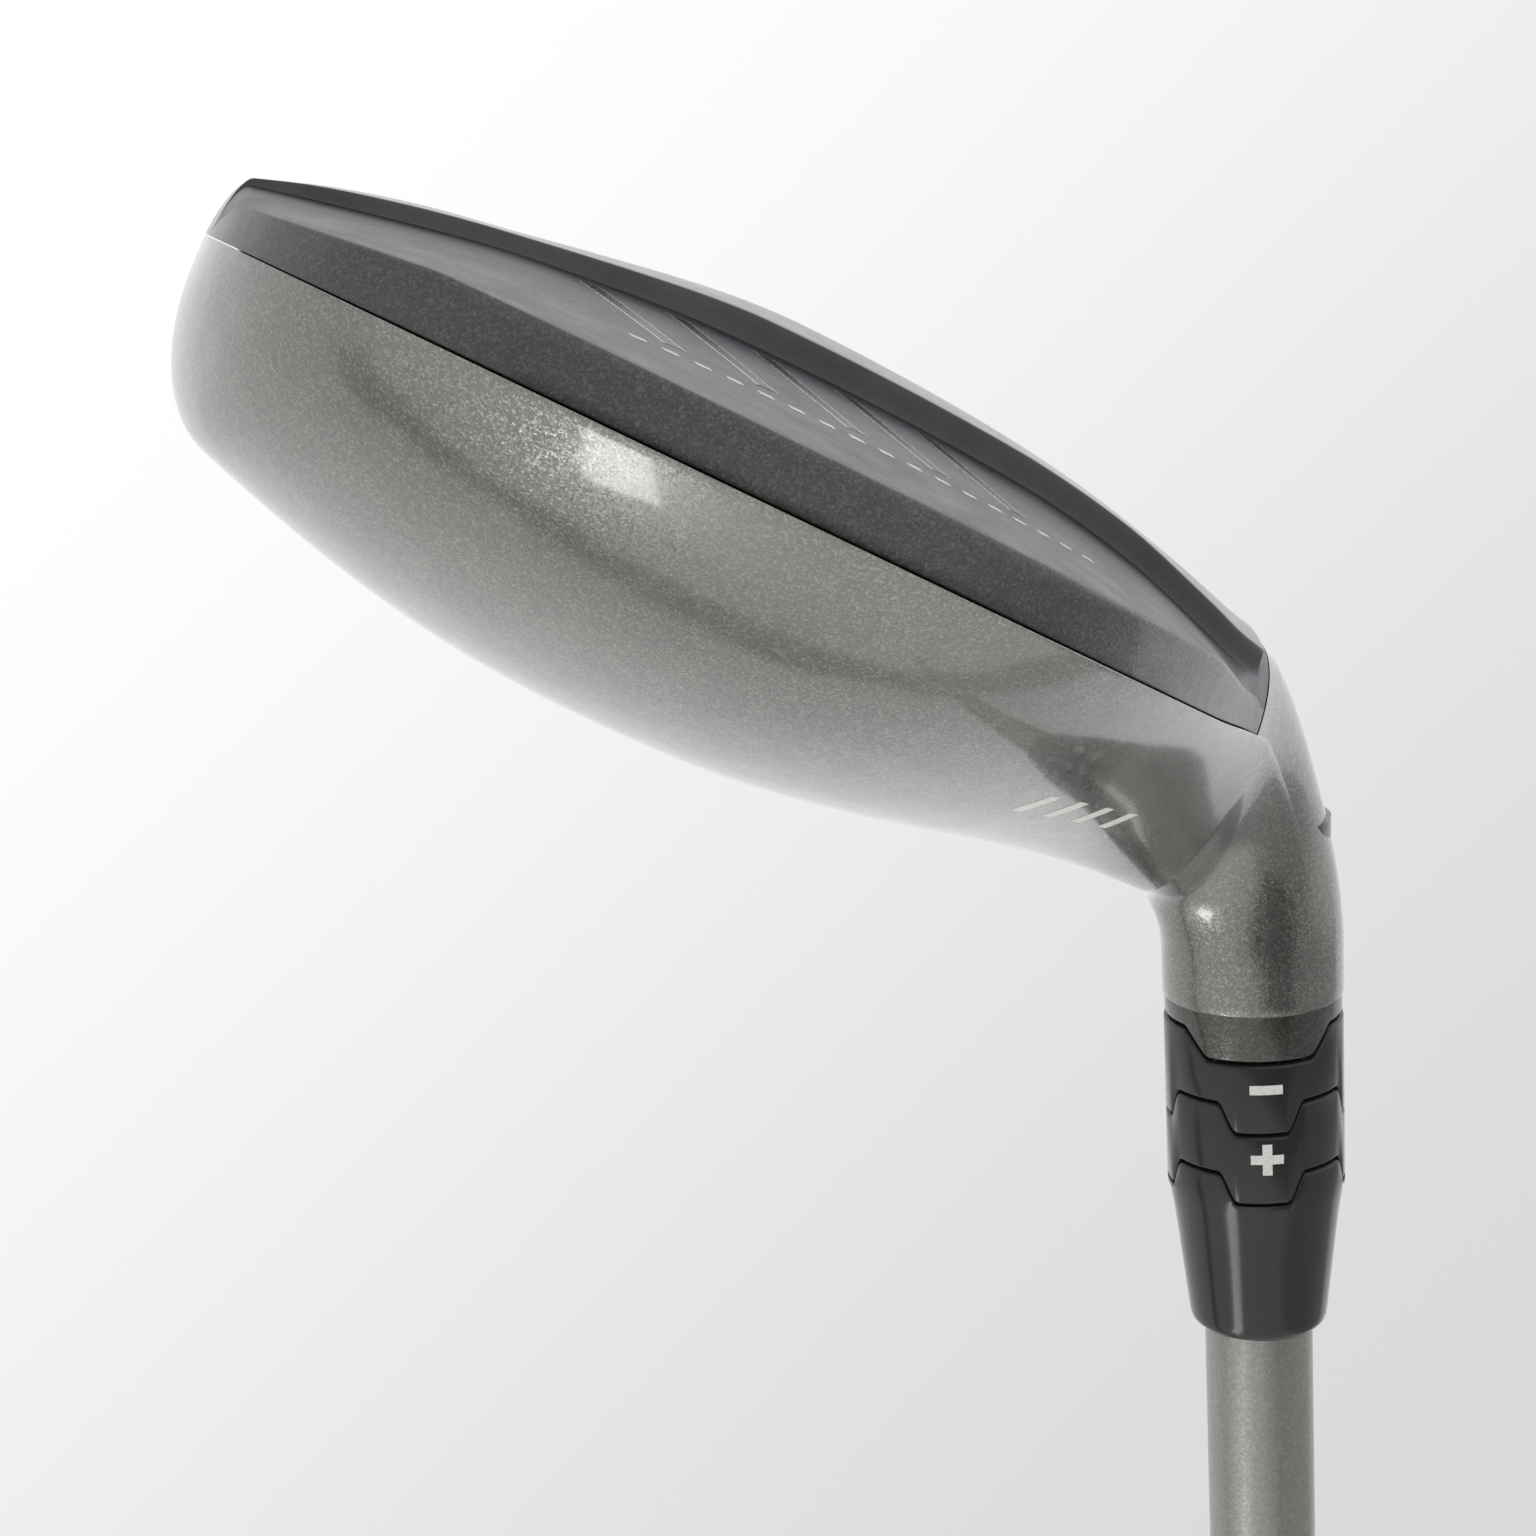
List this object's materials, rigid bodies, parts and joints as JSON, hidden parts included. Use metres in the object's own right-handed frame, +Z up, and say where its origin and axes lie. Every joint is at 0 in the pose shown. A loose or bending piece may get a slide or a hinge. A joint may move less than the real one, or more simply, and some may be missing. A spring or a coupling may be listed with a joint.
{
  "type": "hybrid golf club",
  "caption": "Right-handed hybrid golf club with a compact hollow head, an adjustable two-cog hosel sleeve, a tapered shaft and a rubber grip.",
  "frame": {"origin": "centre of the small flat pad at the lowest point of the sole, with the club soled at address", "axes": "+Z up from the ground, -Y towards the target side of the face, +X from toe to heel; the shaft leans towards +X at 60 degrees"},
  "size_m": [0.6062, 0.0652, 0.8859],
  "materials": {
    "gunmetal_paint": "gloss gunmetal paint with fine metal flake",
    "satin_smoke": "satin smoke-grey coating",
    "brushed_face": "fine blasted face with milled score lines",
    "bare_titanium": "as cast, inside the head",
    "tungsten": "sintered",
    "screw_steel": "machined",
    "anodised_aluminium": "anodised",
    "gloss_black_plastic": "moulded gloss black with white setting marks",
    "satin_silver_shaft": "satin silver-grey paint over fibre composite",
    "grip_tape_paper": "paper tape",
    "black_rubber": "moulded pattern",
    "cap_rubber": "hard moulded cap"
  },
  "bodies": {
    "club": {"shaft": "satin_silver_shaft", "grip": "black_rubber", "grip_tape": "grip_tape_paper", "grip_cap": "cap_rubber", "adapter_sleeve": "anodised_aluminium", "cog_clip": "screw_steel", "ferrule": "gloss_black_plastic"},
    "head": {"crown_body": "gunmetal_paint", "sole_body": "satin_smoke", "face_cup": "brushed_face", "strut_toe": "bare_titanium", "strut_heel": "bare_titanium", "tungsten_toe": "tungsten", "tungsten_heel": "tungsten", "sole_weight": "screw_steel"},
    "screw": {"hosel_screw": "screw_steel", "screw_washer": "screw_steel", "screw_ring": "screw_steel"},
    "lower_cog": {"cog_lower": "gloss_black_plastic"},
    "upper_cog": {"cog_upper": "gloss_black_plastic"}
  },
  "joints": [
    {"name": "head_travel", "type": "slide", "parent": "club", "child": "head", "axis": [-0.5, 0, -0.866], "range_m": [0, 0.009]},
    {"name": "lower_cog_travel", "type": "slide", "parent": "club", "child": "lower_cog", "axis": [-0.5, 0, -0.866], "range_m": [0, 0.006]},
    {"name": "upper_cog_travel", "type": "slide", "parent": "club", "child": "upper_cog", "axis": [-0.5, 0, -0.866], "range_m": [0, 0.003]},
    {"name": "screw_turn", "type": "hinge", "parent": "head", "child": "screw", "pos_m": [0.0533, -0.01, 0.01732], "axis": [-0.5, 0, -0.866], "range_deg": [0, 4051]}
  ],
  "couplings": [
    {"joint": "lower_cog_travel", "follows": "head_travel", "ratio": 0.66667},
    {"joint": "upper_cog_travel", "follows": "head_travel", "ratio": 0.33333},
    {"joint": "screw_turn", "follows": "head_travel", "rad_per_m": 7854}
  ]
}
